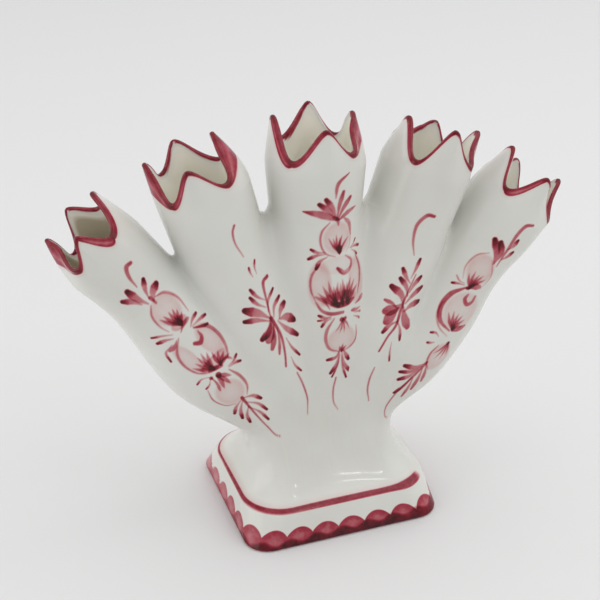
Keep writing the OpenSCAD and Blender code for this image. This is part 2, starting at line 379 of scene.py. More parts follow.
def rounded_rect(dx, dy, half_x, half_y, corner):
    """where rays from the middle leave a rounded rectangle"""
    ax, ay = np.abs(dx), np.abs(dy)
    k = 1 / np.maximum(ax / half_x, ay / half_y)
    cx, cy = half_x - corner, half_y - corner
    in_corner = (k * ax > cx) & (k * ay > cy)
    a, b, c = ax**2 + ay**2, ax * cx + ay * cy, cx**2 + cy**2 - corner**2
    k_corner = (b + np.sqrt(np.maximum(b * b - a * c, 0.0))) / a
    k = np.where(in_corner, k_corner, k)
    return k * dx, k * dy


class Brush:
    """lays strokes on a sheet; a place is millimetres to the right, then millimetres from the fan point"""

    def __init__(self, across, along):
        self.x, self.y = across.ravel(), along.ravel()
        self.ink = np.zeros(self.x.size)

    def near(self, low, high):
        return np.flatnonzero((self.x > low[0]) & (self.x < high[0]) & (self.y > low[1]) & (self.y < high[1]))

    def stroke(self, path, widths, tones):
        """one pull of the brush along a smooth path; widths and tones are spread evenly along it"""
        line = smooth_path(path)
        step = np.linspace(0, 1, len(line))
        half = np.interp(step, np.linspace(0, 1, len(widths)), widths) / 2
        tone = np.interp(step, np.linspace(0, 1, len(tones)), tones)
        reach = half.max() + SOFT
        near = self.near(line.min(axis=0) - reach, line.max(axis=0) + reach)
        if not len(near):
            return
        points = np.stack([self.x[near], self.y[near]], axis=-1)[:, None]
        way = line[1:] - line[:-1]
        t = np.clip(((points - line[:-1]) * way).sum(-1) / np.maximum((way * way).sum(-1), LEAST), 0, 1)
        away = np.linalg.norm(points - line[:-1] - way * t[..., None], axis=-1)
        past = away - half[:-1] - (half[1:] - half[:-1]) * t
        best = past.argmin(axis=1)
        row = np.arange(len(near))
        shade = tone[best] + (tone[best + 1] - tone[best]) * t[row, best]
        self.ink[near] += shade * ease(share(past[row, best], SOFT, -SOFT))

    def leaf(self, x, y, tip_x, tip_y, width, bend, tones=LEAF_TONES, pointed=False):
        """comma of the loaded brush: thin at the root, full and dark at the tip"""
        root, tip = np.array((x, y), float), np.array((tip_x, tip_y), float)
        way = tip - root
        middle = (root + tip) / 2 + bend * np.array([-way[1], way[0]])
        widths = POINTED_LEAF if pointed else ROUND_LEAF
        self.stroke([root, middle, tip], [width * w for w in widths], tones)

    def hairs(self, root, tips, width, tones=HAIR_TONES):
        """fine pointed strokes from one root"""
        for tip in tips:
            self.leaf(*root, *tip, width, HAIR_BEND, tones, pointed=True)

    def bead(self, x, y, width, tone):
        """one touch of the brush"""
        self.stroke([(x, y), (x + BEAD_PULL, y + BEAD_PULL)], (width, width), (tone,))

    def ring(self, path, width, tone):
        """outline of a petal, thin where the brush comes down and lifts"""
        self.stroke(path, [width * w for w in RING_WIDTHS], [tone * t for t in RING_TONES])

    def wash(self, x, y, half_w, half_h, tone):
        """thin pool of colour, deepest near its edge"""
        off = np.hypot((self.x - x) / half_w, (self.y - y) / half_h)
        pool = WASH_MIDDLE + (1 - WASH_MIDDLE) * np.minimum(off, 1.0) ** 2
        self.ink += tone * ease(share(off, WASH_OUT, WASH_IN)) * pool


def each(touch, *rows, **alike):
    """the same kind of touch for every row of measures"""
    for row in rows:
        touch(*row, **alike)


def smooth_path(path):
    """points along a curve through the given places"""
    p = np.array(path, float)
    if len(p) == 2:
        return p[0] + (p[1] - p[0]) * np.linspace(0, 1, CURVE_POINTS)[:, None]
    p = np.concatenate([[2 * p[0] - p[1]], p, [2 * p[-1] - p[-2]]])
    t = np.linspace(0, 1, CURVE_POINTS, endpoint=False)[:, None]
    spans = []
    for a, b, c, d in zip(p[:-3], p[1:-2], p[2:-1], p[3:]):
        first, second, third = c - a, 2 * a - 5 * b + 4 * c - d, 3 * b - a - 3 * c + d
        spans.append(b + first * t / 2 + second * t**2 / 2 + third * t**3 / 2)
    return np.concatenate(spans + [p[-2:-1]])


def paint_centre(b):
    """three blossoms one above the other, leaves at the top and the bottom"""
    each(b.wash,
        (3.4, 118, 6.6, 7.2, 0.2), (-4.6, 98, 5.2, 10.5, 0.2), (13.2, 97, 4.6, 10.5, 0.2),
        (4, 106, 9.0, 4.0, 0.08), (4.6, 90.5, 8.6, 3.6, 0.3), (5.4, 71, 7.2, 6.6, 0.18))
    b.leaf(2.2, 136, 8, 146, 1.7, 0.2, (0.5, 0.6, 0.7, 1.1), pointed=True)
    b.leaf(3.5, 126, -11, 130.5, 3.4, -0.06, (0.6, 0.6, 0.6, 1.2), pointed=True)
    b.leaf(4, 126, 13, 129.8, 2.2, 0.06, (0.7, 0.6, 0.55, 0.8), pointed=True)
    b.stroke([(1.6, 127.4), (3.4, 126), (3.8, 123.6)], (1.4, 1.8, 0.6), (0.5, 0.6, 0.4))

    b.ring([(0, 125.4), (-3.4, 121.5), (-4, 116.5), (-2, 112), (2.2, 110)], 1.0, 0.55)
    b.ring([(6.6, 126.2), (9.4, 123), (10.2, 118)], 1.8, 0.5)
    b.ring([(10.2, 118.5), (9.6, 114), (7.4, 111)], 0.5, 0.3)
    tips = [(-0.6, 118.4), (1.4, 118), (2.8, 119.4), (4.6, 118), (5.6, 119), (8.6, 117.4)]
    b.hairs((4.2, 111.5), tips, 1.1)
    b.leaf(4.3, 110.8, 4.2, 114, 2.8, 0.0, (0.8, 0.8, 0.5))

    b.ring([(7.2, 109.6), (10.4, 106.6), (9.4, 102.6), (6, 101.4), (3.2, 104.6)], 1.3, 0.45)
    b.leaf(9.8, 104, 3.2, 104.6, 2.0, 0.32, (0.3, 0.35, 0.5, 0.9))
    b.ring([(-4.4, 107.5), (-8.0, 102), (-8.4, 96), (-6.4, 90.5)], 1.0, 0.5)
    b.ring([(13.4, 108), (15.8, 102.5), (15.8, 96.5), (14.2, 90.5)], 1.1, 0.5)
    left = [(-5.4, 94.4), (-3.4, 97.4), (-1, 99.4), (1.4, 96.8), (3.4, 98.4)]
    right = [(5.6, 99.2), (8, 97.2), (10, 99), (12.2, 97.4), (14.2, 94.4)]
    b.hairs((3.2, 87.4), left, 1.9, (0.7, 0.6, 0.3))
    b.hairs((8.2, 87.4), right, 1.9, (0.7, 0.6, 0.3))
    b.hairs((5.8, 87.4), [(3.2, 95.4), (4.6, 97.6), (6.8, 96.4), (7, 94)], 1.7, (0.7, 0.55, 0.3))
    heart = [(0.6, 88.6), (3.6, 87.8), (8.6, 87.8), (11.8, 88.8)]
    b.stroke(heart, (1.4, 2.8, 2.8, 1.2), (0.6, 1.0, 0.9, 0.5))
    b.leaf(-0.4, 86.6, -6.4, 92.6, 1.6, -0.12, (0.6, 0.5, 0.4))
    b.stroke([(-6.2, 90), (-4, 86.4), (0, 84.4), (5.8, 84)], (0.7, 1.3, 1.7, 1.4), (0.45, 0.6, 0.75, 0.6))
    b.leaf(12.8, 86, 16.8, 89.4, 1.6, -0.1, (0.7, 0.6, 0.4))

    b.leaf(15.4, 84, 10.8, 83.4, 1.8, 0.1, (0.5, 0.5, 0.7))
    b.ring([(1.6, 82), (-1.6, 77), (-2.2, 72), (-0.4, 67.6), (4, 65.4)], 1.5, 0.5)
    b.ring([(13, 76), (12.8, 70), (10, 66.4), (6, 65)], 0.8, 0.45)
    b.hairs((5.8, 81), [(2.2, 75.6), (4.2, 74.6), (6.4, 74.2), (9.2, 75.4)], 1.0, (0.8, 0.5, 0.3))
    b.hairs((5.4, 65), [(4.2, 68), (6, 68.8), (7.6, 67.4)], 1.3, (0.7, 0.6, 0.4))

    b.stroke([(3.4, 51.5), (2.4, 45), (3, 38.5), (5.6, 34)], (0.8, 0.9, 0.7, 0.4), (0.6, 0.5, 0.4))
    each(b.bead,
        (4.3, 111.8, 1.7, 0.7), (3.6, 87.8, 2.2, 0.5), (8.4, 88, 2.0, 0.4), (5, 80.8, 1.9, 0.75),
        (6.8, 80.8, 1.7, 0.75))
    each(b.leaf,
        (3.2, 126.5, 5.6, 138.2, 2.2, 0.04), (3.6, 126.5, 9.2, 135, 2.4, 0.05),
        tones=(0.7, 0.6, 0.6, 0.9))
    each(b.leaf,
        (3, 126.5, -4.5, 133.8, 2.5, -0.05), (3, 127, -1.8, 135.8, 2.5, -0.04),
        (-2.4, 112.4, -8, 113.8, 1.5, 0.1), (-2.2, 111.6, -9.2, 109.6, 1.6, -0.08),
        (-1.2, 110.4, -6, 105.4, 1.9, -0.15), (9.8, 112.2, 13.4, 115.2, 0.8, -0.1),
        (10, 112, 16, 111.4, 1.3, 0.08), (10.6, 111.2, 14.4, 108, 1.0, 0.05),
        (0.2, 83, -5.2, 84, 1.5, 0.12), (0, 82.8, -5.6, 81.6, 0.9, 0.05), (0.4, 82.2, -4, 78.8, 1.4, -0.14),
        (12.4, 82, 17.6, 81.6, 1.3, 0.06), (11.6, 80.6, 16, 78.4, 1.1, 0.06),
        (4.4, 66, -1.2, 62, 1.9, 0.24), (4.2, 65, 0.6, 54.6, 2.0, 0.1), (4.6, 64, 1.4, 52.4, 1.0, 0.06),
        (6, 66, 9.2, 60, 2.2, 0.0), (5.6, 64.6, 11, 52.6, 2.0, -0.1), (5.2, 63.6, 8.6, 50.4, 1.2, -0.04))


def paint_left_outer(b):
    """blossom stack on the spout that leans furthest to the left"""
    each(b.wash,
        (5.6, 118, 6.6, 7.4, 0.19), (5.4, 110, 4.2, 2.6, 0.4), (9.4, 95, 4.8, 8.4, 0.2),
        (-3.4, 95, 3.8, 9.0, 0.19), (3.6, 86, 7.6, 3.0, 0.34), (-1.2, 70, 6.6, 6.8, 0.19))
    b.stroke([(9.6, 143.4), (7, 143.6), (5, 140), (4.2, 134.5)], (1.4, 1.9, 1.4, 0.4), (0.9, 0.65, 0.6))
    b.stroke([(4.6, 127), (4.8, 123.4)], (1.5, 0.8), (0.8, 0.6))

    b.ring([(6.4, 125.6), (10.4, 123.4), (12.8, 117.5), (11.8, 110)], 1.2, 0.5)
    b.ring([(2.6, 124.4), (-0.4, 120.5), (-1.2, 115), (-0.2, 110.4)], 0.9, 0.5)
    tips = [(5.4, 116.6), (7.4, 116.2), (8.6, 114.6), (9.2, 112.2), (2.8, 117), (0.8, 117)]
    b.hairs((5.6, 108.6), tips, 1.7, (0.7, 0.6, 0.5))
    b.leaf(3, 106.6, 9.2, 108.4, 2.0, 0.1, (0.5, 0.5, 0.6))

    b.leaf(-0.6, 105.2, -6, 103.2, 2.2, 0.1, (0.5, 0.55, 0.7))

    b.ring([(8, 103.6), (12.6, 99.4), (13.8, 93), (12, 86.6), (9, 82.6)], 1.7, 0.5)
    b.ring([(0.6, 105.4), (-4.6, 100.4), (-6.6, 93.8), (-5, 87.4), (-1.4, 84.4)], 1.2, 0.45)
    b.stroke([(8.2, 101.2), (7.8, 98.6), (5.6, 97), (3.6, 98.6)], (0.6, 1.5, 2.2, 1.6), (0.5, 0.6, 0.7, 0.9))
    tips = [(-4.8, 90.4), (-2.4, 91.4), (0, 93), (2.2, 93.4), (4.2, 91.8)]
    b.hairs((1.4, 83.8), tips, 1.7, (0.7, 0.6, 0.45))
    b.hairs((4.6, 83), [(5.8, 90), (7.8, 88.2), (9.4, 86), (10.6, 83.4)], 1.7, (0.7, 0.65, 0.5))
    b.stroke([(-0.4, 84.4), (2, 83.8), (4.6, 82.6)], (1.6, 2.2, 1.6), (0.7, 0.9, 0.6))

    b.hairs((0.2, 80.6), [(-1.6, 73.6), (1.8, 73.4), (4.4, 76)], 2.1, (0.7, 0.6, 0.5))
    b.leaf(-2.2, 81.6, -3.6, 74, 1.4, 0.08, (0.8, 0.6, 0.5))
    b.leaf(6.2, 83.8, 9.8, 81, 1.2, 0.2, (0.6, 0.6, 0.4))
    b.ring([(5.6, 78.6), (6.8, 72.6), (6, 67), (3, 63.4)], 1.3, 0.55)
    b.ring([(-7.6, 77.4), (-9.4, 71.4), (-7.4, 65.8), (-3.4, 63.4)], 0.8, 0.5)

    tail = [(0.4, 64), (-0.4, 58), (-1.4, 50), (-2, 42), (-1.2, 36.4), (1.0, 33.4)]
    b.stroke(tail, (1.4, 1.0, 0.8, 0.7, 0.7, 0.5), (0.9, 0.6, 0.5))
    each(b.bead,
        (5.6, 109.8, 2.3, 0.9), (0.8, 80.4, 2.5, 0.9), (-2.4, 81.4, 1.6, 0.8))
    each(b.leaf,
        (4.3, 127.5, 8.2, 134.6, 2.4, 0.06), (5, 125, 10.6, 128.8, 3.6, 0.16),
        (2.4, 125.6, 0.2, 136, 3.4, 0.05), (0.4, 127.4, -4.2, 133.8, 2.8, -0.08),
        (7.4, 105, 13.4, 106.6, 1.6, 0.1), (8, 104.6, 16, 102.4, 1.5, 0.04),
        (8, 104, 13.6, 99.4, 1.3, -0.06), (0, 108.4, -7.6, 112.6, 1.2, -0.05),
        (-1, 106.8, -7.6, 109, 1.9, -0.08), (-3.4, 105, -9.6, 98.4, 1.3, -0.24),
        (-2.6, 82.4, -9, 82.6, 0.9, -0.18), (-3, 81.2, -7.6, 78.4, 0.8, 0.1),
        (6.4, 80, 12.6, 80.4, 1.2, -0.1), (6.4, 79.4, 11.8, 77, 1.3, 0.05),
        (0.6, 63.6, 5.6, 56.2, 1.9, 0.14), (0, 61, 3.6, 49.4, 1.5, 0.1), (-0.8, 58, 0.8, 44.8, 1.4, 0.06),
        (-0.4, 63.4, -7.6, 58.8, 1.7, -0.1), (-0.4, 62.6, -6.8, 54, 1.8, -0.08),
        (-0.6, 58, -5.8, 49.6, 1.7, -0.1))


def paint_left_inner(b):
    """leaf spray with a loose arc above it"""
    b.stroke([(6.4, 135), (4.6, 132.4), (3.9, 127.4), (4.9, 120.5)], (0.9, 0.9, 0.7, 0.4), (0.8, 0.6, 0.5))
    b.stroke([(11.2, 106.8), (8.2, 105.6), (6.6, 99), (5.2, 91)], (1.5, 1.5, 0.9, 0.7), (1.0, 0.65, 0.6))
    b.leaf(4.8, 88.6, 0.2, 80.8, 4.4, 0.02, (0.55, 0.6, 0.65))
    b.leaf(5, 86.5, 0.2, 76.4, 2.5, 0.05, (0.6, 0.65, 0.75))
    b.stroke([(5.2, 90), (6, 80.2), (4.6, 72), (2.6, 65.2)], (1.4, 1.2, 1.0, 0.8), (0.9, 0.65, 0.8))
    b.leaf(5.6, 84, 2.2, 72.6, 1.4, 0.04, (0.5, 0.6, 0.7))
    b.stroke([(6.1, 59), (6.5, 52), (6.0, 44), (3.9, 35.6)], (0.7, 0.9, 0.8, 0.4), (0.5, 0.6, 0.5))
    b.bead(4.8, 89.6, 1.6, 0.4)
    each(b.leaf,
        (7.2, 110.8, 8.8, 116.4, 1.0, 0.1), (5.1, 110.5, 5.0, 115, 1.0, 0.05),
        (5.9, 98.5, 1.8, 106, 1.7, 0.08), (5.0, 95.4, 0.4, 102.8, 1.8, 0.08),
        (5.1, 93, 11.4, 100.6, 1.5, 0.14), (6.4, 89.4, 12.7, 95.8, 1.9, 0.16),
        (4.4, 90.4, -3.6, 98.2, 4.3, -0.06), (4, 89, -5.7, 93.4, 2.7, -0.08),
        (4.6, 89.6, -2, 82.6, 3.2, 0.14), (8.6, 87.6, 13.8, 92, 3.0, 0.1), (8.2, 87.2, 14.6, 83, 4.2, 0.12),
        (7.4, 86.8, 13.2, 76, 2.9, -0.05), (7.7, 77.7, 10.4, 66.6, 1.4, -0.05),
        (6.4, 68.2, 8.2, 58.6, 1.1, -0.08))


def paint_right_inner(b):
    """leaf spray that mirrors the left one freely"""
    arc = [(1.8, 130.6), (-1.6, 130.2), (-4.2, 125), (-3.4, 118), (-0.8, 112.2)]
    b.stroke(arc, (1.3, 1.7, 1.5, 1.0, 0.4), (0.9, 0.65, 0.6, 0.5))
    b.leaf(0.4, 87.6, -6.4, 90, 1.8, -0.08, (0.5, 0.6, 0.8))
    stem = [(3.4, 104), (2.6, 96), (2.2, 88), (2.8, 80), (0.8, 73.8), (-0.4, 66.4)]
    b.stroke(stem, (0.6, 0.9, 1.3, 1.3, 1.0, 0.8), (0.5, 0.6, 0.8, 0.7, 0.9))
    b.stroke([(1.1, 58), (1.4, 52), (3, 46), (6.2, 40.4)], (0.6, 0.9, 0.8, 0.5), (0.5, 0.6, 0.5))
    each(b.leaf,
        (1.2, 89.6, -4.4, 85.2, 5.0, 0.1), (1, 88, -2.4, 80.6, 4.8, -0.04),
        (2.8, 88.8, 10, 79.4, 4.4, -0.06),
        tones=(0.5, 0.55, 0.6, 0.85))
    each(b.leaf,
        (1.6, 102, 2.8, 111, 1.9, -0.02), (2.2, 99.7, -3.5, 105.4, 2.2, 0.05),
        (3.2, 93.8, -3.1, 101, 2.5, -0.1), (3.4, 95.6, 6.6, 103.2, 2.5, 0.06),
        (3.4, 90.4, 9.4, 98.4, 2.9, 0.06), (4.2, 86.6, 10.8, 91.6, 3.4, 0.12),
        (3, 88.4, -5.6, 96.6, 3.4, -0.16), (3, 82, -2.2, 75.6, 2.2, -0.12), (2.6, 82, 8, 73, 1.7, 0.06),
        (3.9, 71.6, 7.2, 62.2, 1.1, -0.04))


def paint_right_outer(b):
    """blossom stack on the spout that leans furthest to the right"""
    each(b.wash,
        (-4, 117, 6.4, 7.2, 0.21), (0.4, 97, 8.4, 9.6, 0.15), (6, 74.5, 5.6, 7.4, 0.19))
    arc = [(4.2, 145.6), (0.8, 143.4), (0, 138), (0.8, 131), (1.6, 122)]
    b.stroke(arc, (1.0, 1.8, 1.7, 1.4, 0.6), (0.9, 0.65, 0.65, 0.5))
    b.ring([(-5.4, 125), (-9.4, 121), (-10.6, 114.6), (-8.4, 109.4)], 0.7, 0.4)
    b.ring([(-2.2, 123), (2.4, 117), (1.6, 110)], 0.6, 0.3)
    tips = [(-7.4, 112.6), (-5.4, 115), (-3, 114.6), (-1, 115.4), (0.8, 114.2)]
    b.hairs((-3.2, 107.4), tips, 1.3, (0.9, 0.6, 0.35))
    b.leaf(-4.2, 106.6, 0.6, 110.4, 3.0, 0.1, (0.8, 0.7, 0.5))
    b.leaf(-6.4, 108, -11.4, 108.8, 0.8, 0.14, (0.4, 0.5, 0.5))
    b.ring([(-4.6, 107), (-8.6, 101), (-9, 94), (-5.2, 88.6), (1.6, 87)], 2.2, 0.75)
    b.ring([(-9.6, 96), (-8.4, 90.4), (-4, 86), (2.4, 84.4)], 1.0, 0.4)
    curl = [(1.8, 106), (2.2, 103), (0.6, 101), (-1.8, 102.4), (-1.8, 105)]
    b.stroke(curl, (1.0, 1.5, 1.9, 1.8, 0.8), (0.5, 0.6, 0.65, 0.5))
    tips = [(-4.4, 93.6), (-2.4, 95.4), (0.2, 95.6), (2.6, 95.8), (5, 94.6), (6.6, 92)]
    b.hairs((2.4, 88), tips, 1.5, (0.8, 0.6, 0.4))
    b.leaf(2.8, 87.4, 7.6, 92.4, 2.2, -0.1, (0.8, 0.6, 0.5))
    b.hairs((5.6, 82.4), [(2.4, 75), (4.6, 73), (7.6, 73.8), (9.6, 76.4)], 1.1, (0.8, 0.5, 0.35))
    b.ring([(1.6, 79), (0.8, 74), (2.4, 69.6), (6, 67)], 0.9, 0.5)
    b.leaf(2.8, 69, 8, 60.6, 2.0, 0.04, (0.5, 0.55, 0.7))
    tail = [(2.4, 69.6), (1.8, 60), (1.2, 50), (2.2, 42), (4.4, 37.6), (7, 37)]
    b.stroke(tail, (1.4, 1.2, 0.8, 0.7, 0.6, 0.5), (0.7, 0.6, 0.5))
    each(b.bead,
        (-3.8, 107.2, 1.7, 0.7), (2.4, 88.6, 2.0, 0.7), (5.6, 82, 1.8, 0.6))
    each(b.leaf,
        (-0.6, 122, -7.2, 131, 3.5, -0.1), (-0.4, 122.6, -4.2, 131.6, 3.0, -0.18),
        tones=(0.5, 0.6, 0.8, 1.7))
    each(b.leaf,
        (3, 66, 6.8, 55, 2.3, 0.02), (2.4, 60, 5.4, 49.8, 1.8, 0.04),
        tones=(0.5, 0.55, 0.8))
    each(b.leaf,
        (1, 130.8, 2.4, 136.4, 2.2, -0.1), (1.6, 125.6, 4.4, 131, 2.0, -0.05),
        (-6, 107.4, -11.2, 105, 1.2, -0.04), (-1.2, 82.4, -5.6, 82, 1.2, -0.2),
        (-1.2, 79.2, -4, 77.4, 1.2, 0.05), (1.8, 68.6, -5.2, 63, 2.6, 0.14), (1.6, 67, -5, 59.4, 2.0, 0.12),
        (1.2, 65, -3, 56, 2.2, 0.1), (1.6, 60.4, 0.2, 49.6, 1.8, 0.06))


def paint_back(b):
    """small sprig on the back of a spout"""
    b.leaf(0, 84, 0, 97, 2.0, 0.05)
    for side in (-1, 1):
        b.leaf(0, 86, side * 5.0, 94, 2.0, side * -0.12)
        b.leaf(0, 82, side * 6.0, 86, 2.0, side * -0.12)
        b.leaf(0, 78, side * 5.0, 75, 1.6, side * 0.1)
    b.stroke([(0, 97), (0.6, 84), (0, 72), (1.5, 62)], (0.6, 1.0, 0.9, 0.4), (0.6,))


PAINTERS = (paint_left_outer, paint_left_inner, paint_centre, paint_right_inner, paint_right_outer)


def paint_sheet(i, across, along, back):
    brush = Brush(across, along)
    (paint_back if back else PAINTERS[i])(brush)
    return brush.ink.reshape(across.shape)


def rim_width(i, turn):
    """how far down the outside of a crown its crimson reaches, one stroke from each peak to each dip"""
    number, _, dip, way, along = crown_place(i, turn)
    end = END_AT_DIP + (END_AT_PEAK - END_AT_DIP) * along
    width = end + (np.array(RIM_STROKES[i])[number] - end) * np.sin(math.pi * way) ** STROKE_FULLNESS
    climb = rim_s(i, turn) - MOUTH_S - crown(i)[dip, 1]
    return np.where(np.isin(number, BLADES[i]), END_AT_DIP + BLADE_SHARE * climb, width)


def blade_end(i, turn):
    """how far down a broad stroke still reaches where it runs out on the far side of its peak"""
    heights = crown(i)[:, 1]
    number, peak, _, _, along = crown_place(i, turn)
    partner = np.where(number == peak, number - 1, number + 1) % len(heights)
    rise = heights[peak] - heights[np.where(partner % 2 == 0, (partner + 1) % len(heights), partner)]
    full = (END_AT_DIP + BLADE_SHARE * rise) * np.isin(partner, BLADES[i])
    return full * share(along, 1 - BLADE_WRAP, 1.0) ** BLADE_TAPER


def at_back(number):
    """whether a stroke lies on the far half of the mouth"""
    return (number > 1) & (number < 6)


def rim_paint(i, turn, below, inside=False):
    """crimson brushed along the crown, darkest at the edges of a stroke; below is measured from the lip"""
    number, _, _, way, _ = crown_place(i, turn)
    width = rim_width(i, turn)
    if inside:
        width = np.maximum(width - LIP_FULL, 0.0) * np.where(at_back(number), INSIDE_BACK, INSIDE_FRONT)
    else:
        width = np.maximum(width, blade_end(i, turn))
    edge = ease(share(below, width + SOFT, width - SOFT))
    if inside:
        edge = edge * share(width, 0.0, SOFT)
    overlap = np.exp(-((np.minimum(way, 1 - way) / STROKE_ENDS) ** 2))
    middle = 1 - np.abs(2 * share(below, 0, np.maximum(width, SOFT)) - 1)
    haze = RIM_HAZE * ease(share(below, width + RIM_HAZE_REACH, width))
    tone = RIM_TONE + RIM_END_TONE * overlap - RIM_MIDDLE_TONE * middle * share(width, BROAD_FROM, BROAD_FULL)
    return edge * tone + haze * (1 - edge) * (not inside)


def lip_paint(i, turn, bend):
    """crimson over the lip itself; a thin stroke leaves its inner part white"""
    least = np.where(at_back(crown_place(i, turn)[0]), LIP_BACK, LIP_FRONT)
    cover = math.pi * (least + (LIP_WHOLE - least) * share(rim_width(i, turn), LIP_LEAST, LIP_FULL))
    return rim_paint(i, turn, np.zeros_like(turn)) * ease(share(bend, cover + LIP_SOFT, cover - LIP_SOFT))


def add_object(name, data):
    obj = bpy.data.objects.new(name, data)
    bpy.context.scene.collection.objects.link(obj)
    return obj


def look_at(obj, place, aim):
    obj.location = place
    obj.rotation_euler = (Vector(aim) - Vector(place)).to_track_quat("-Z", "Y").to_euler()


class Skin:
    """all the vase's surface as one welded set of points, with each face marked with its piece"""

    def __init__(self):
        self.points, self.faces, self.tags, self.layers, self.count = [], [], [], [], 0

    def add_grid(self, points, tags, pigment, flip=False, closed=False):
        """points are rows by columns; tags name the piece of each face row and column"""
        rows, columns = points.shape[:2]
        index = self.count + np.arange(rows * columns).reshape(rows, columns)
        right = np.roll(index, -1, axis=1) if closed else index[:, 1:]
        left = index if closed else index[:, :-1]
        quads = np.stack([left[:-1], right[:-1], right[1:], left[1:]], axis=-1)
        if flip:
            quads = quads[..., ::-1]
        self.points.append(points.reshape(-1, 3))
        self.layers.append(pigment.reshape(-1))
        self.faces.append(quads.reshape(-1, 4))
        self.tags.append(np.broadcast_to(tags, quads.shape[:2]).reshape(-1))
        self.count += rows * columns

    def weld(self):
        points = np.concatenate(self.points)
        _, first, welded = np.unique(np.round(points, 4), axis=0, return_index=True, return_inverse=True)
        welded = welded.reshape(-1)
        self.points = points[first]
        self.layers = np.concatenate(self.layers)[first]
        self.faces = welded[np.concatenate(self.faces)]
        self.tags = np.concatenate(self.tags)
        a, b, c, d = (self.points[self.faces[:, k]] for k in range(4))
        across = np.cross(c - a, d - b)
        normals = np.zeros_like(self.points)
        for k in range(4):
            np.add.at(normals, self.faces[:, k], across)
        self.normals = normals / np.maximum(np.linalg.norm(normals, axis=1, keepdims=True), LEAST)

    def piece(self, name, tag):
        """one named mesh of the faces with this tag, shaded as part of the whole skin"""
        faces = self.faces[self.tags == tag]
        used, local = np.unique(faces, return_inverse=True)
        local = local.reshape(faces.shape)
        mesh = bpy.data.meshes.new(name)
        quads = [tuple(dict.fromkeys(f)) for f in local.tolist()]
        mesh.from_pydata((self.points[used] * MM).tolist(), [], [q for q in quads if len(q) > 2])
        mesh.polygons.foreach_set("use_smooth", [True] * len(mesh.polygons))
        layer = mesh.attributes.new("pigment", "FLOAT", "POINT")
        layer.data.foreach_set("value", self.layers[used].astype(np.float32))
        mesh.normals_split_custom_set_from_vertices(self.normals[used].tolist())
        mesh.update()
        return add_object(name, mesh)


def low_rows():
    """distances from the fan point below the notches, closer together near them"""
    near = NOTCH_S - NOTCH_ZONE * np.linspace(1, 0, NOTCH_ROWS) ** 2
    return np.concatenate([np.arange(LOW_S, near[0] - ROW_STEP / 2, ROW_STEP), near])


def high_shares():
    """shares of the way from the notches to the rim, closer together near the notches"""
    near = RIM_ZONE * np.linspace(0, 1, RIM_ZONE_ROWS)[1:] ** 2
    return np.concatenate([near, np.linspace(near[-1], 1, RIM_ROWS)[1:]])


def spout_sheet(skin, i, back):
    """the front or back half of one spout: outer skin, lip and bore, and the part of the body below it"""
    columns = BACK_COLUMNS if back else FRONT_COLUMNS
    across = np.linspace(0, 1, columns + 1)
    s_low = low_rows()
    left, right = -valley_turn(i, -1, s_low), valley_turn(i, 1, s_low)
    turn_low = left[:, None] + (right - left)[:, None] * across
    turn_top = np.broadcast_to(-math.pi / 2 + math.pi * across, (1, columns + 1))
    real_top = math.pi - turn_top if back else turn_top
    rim = rim_s(i, real_top) - LIP * LIP_RISE
    shares = high_shares()
    s_high = NOTCH_S + (rim - NOTCH_S) * shares[:, None]
    s = np.concatenate([np.broadcast_to(s_low[:, None], turn_low.shape), s_high])
    turn = np.concatenate([turn_low, np.broadcast_to(turn_top, s_high.shape)])
    r = skin_r(i, s, turn)
    ink = paint_sheet(i, r * turn, s, back)
    real = math.pi - turn if back else turn
    r = r + flare(i, s, real) - bent_in(i, s, real)

    bend = np.linspace(0, math.pi, LIP_ROWS)[1:, None]
    r_lip = r[-1] - LIP / 2 + LIP / 2 * np.cos(bend)
    s_lip = s[-1] + LIP * LIP_RISE * np.sin(bend)
    down = np.linspace(0, 1, BORE_ROWS)[1:, None] ** BORE_CROWDING
    s_bore = s[-1] + (BORE_END_S - s[-1]) * down
    blend = share(s[-1] - s_bore, 0, LIP_BLEND)
    thick = LIP + (WALL - LIP) * blend
    at_rim = r[-1] - tube_r(s[-1]) + slimmer(i, s[-1], turn_top)
    r_bore = tube_r(s_bore) - slimmer(i, s_bore, turn_top) - thick + at_rim * (1 - blend)
    for side, n in neighbours(i):
        towards = np.maximum(side * np.sin(turn_top), LEAST)
        r_bore = np.minimum(r_bore, s_bore * math.tan(half_angle(i, n)) / towards - BORE_GAP)

    all_s = np.concatenate([s, s_lip, s_bore])
    all_r = np.concatenate([r, r_lip, r_bore])
    above = np.broadcast_to(turn_top, (len(s_lip) + len(s_bore), columns + 1))
    all_turn = np.concatenate([turn, above])
    points = place(i, all_s, all_r, math.pi - all_turn if back else all_turn)

    tags = np.full((len(all_s) - 1, columns), SPOUTS[i] + "_spout", dtype=object)
    first_spout = int(round((JOINT_S - LOW_S) / ROW_STEP))
    last_web = len(s_low) - 1
    web_columns = max(WEB_COLUMNS_LEAST, WEB_COLUMNS * columns // FRONT_COLUMNS)
    for side, n in neighbours(i):
        web = WEBS[min(i, n)] + "_web"
        where = slice(0, web_columns) if side < 0 else slice(columns - web_columns, columns)
        tags[first_spout:last_web, where] = web
    tags[:first_spout] = "body"
    ink[len(s_low):] += rim_paint(i, real_top, rim - s_high)
    on_lip = lip_paint(i, real_top, bend)
    inside = rim_paint(i, real_top, s[-1] - s_bore, True)
    # painted light down the bores where no crimson lies, reaching painted shade in the left outer spout
    bore_light_shade = BORE_LIGHT_SHADE_LEFT_OUTER if i == 0 else BORE_LIGHT_SHADE
    inside = inside - bore_light_shade * (inside < PAINTED) * share(s[-1] - s_bore, BORE_LIGHT_SHADE_FROM, BORE_LIGHT_SHADE_FULL)
    skin.add_grid(points, tags, np.concatenate([ink, on_lip, inside]), flip=back)
    return points[:3], r[0] * turn[0]


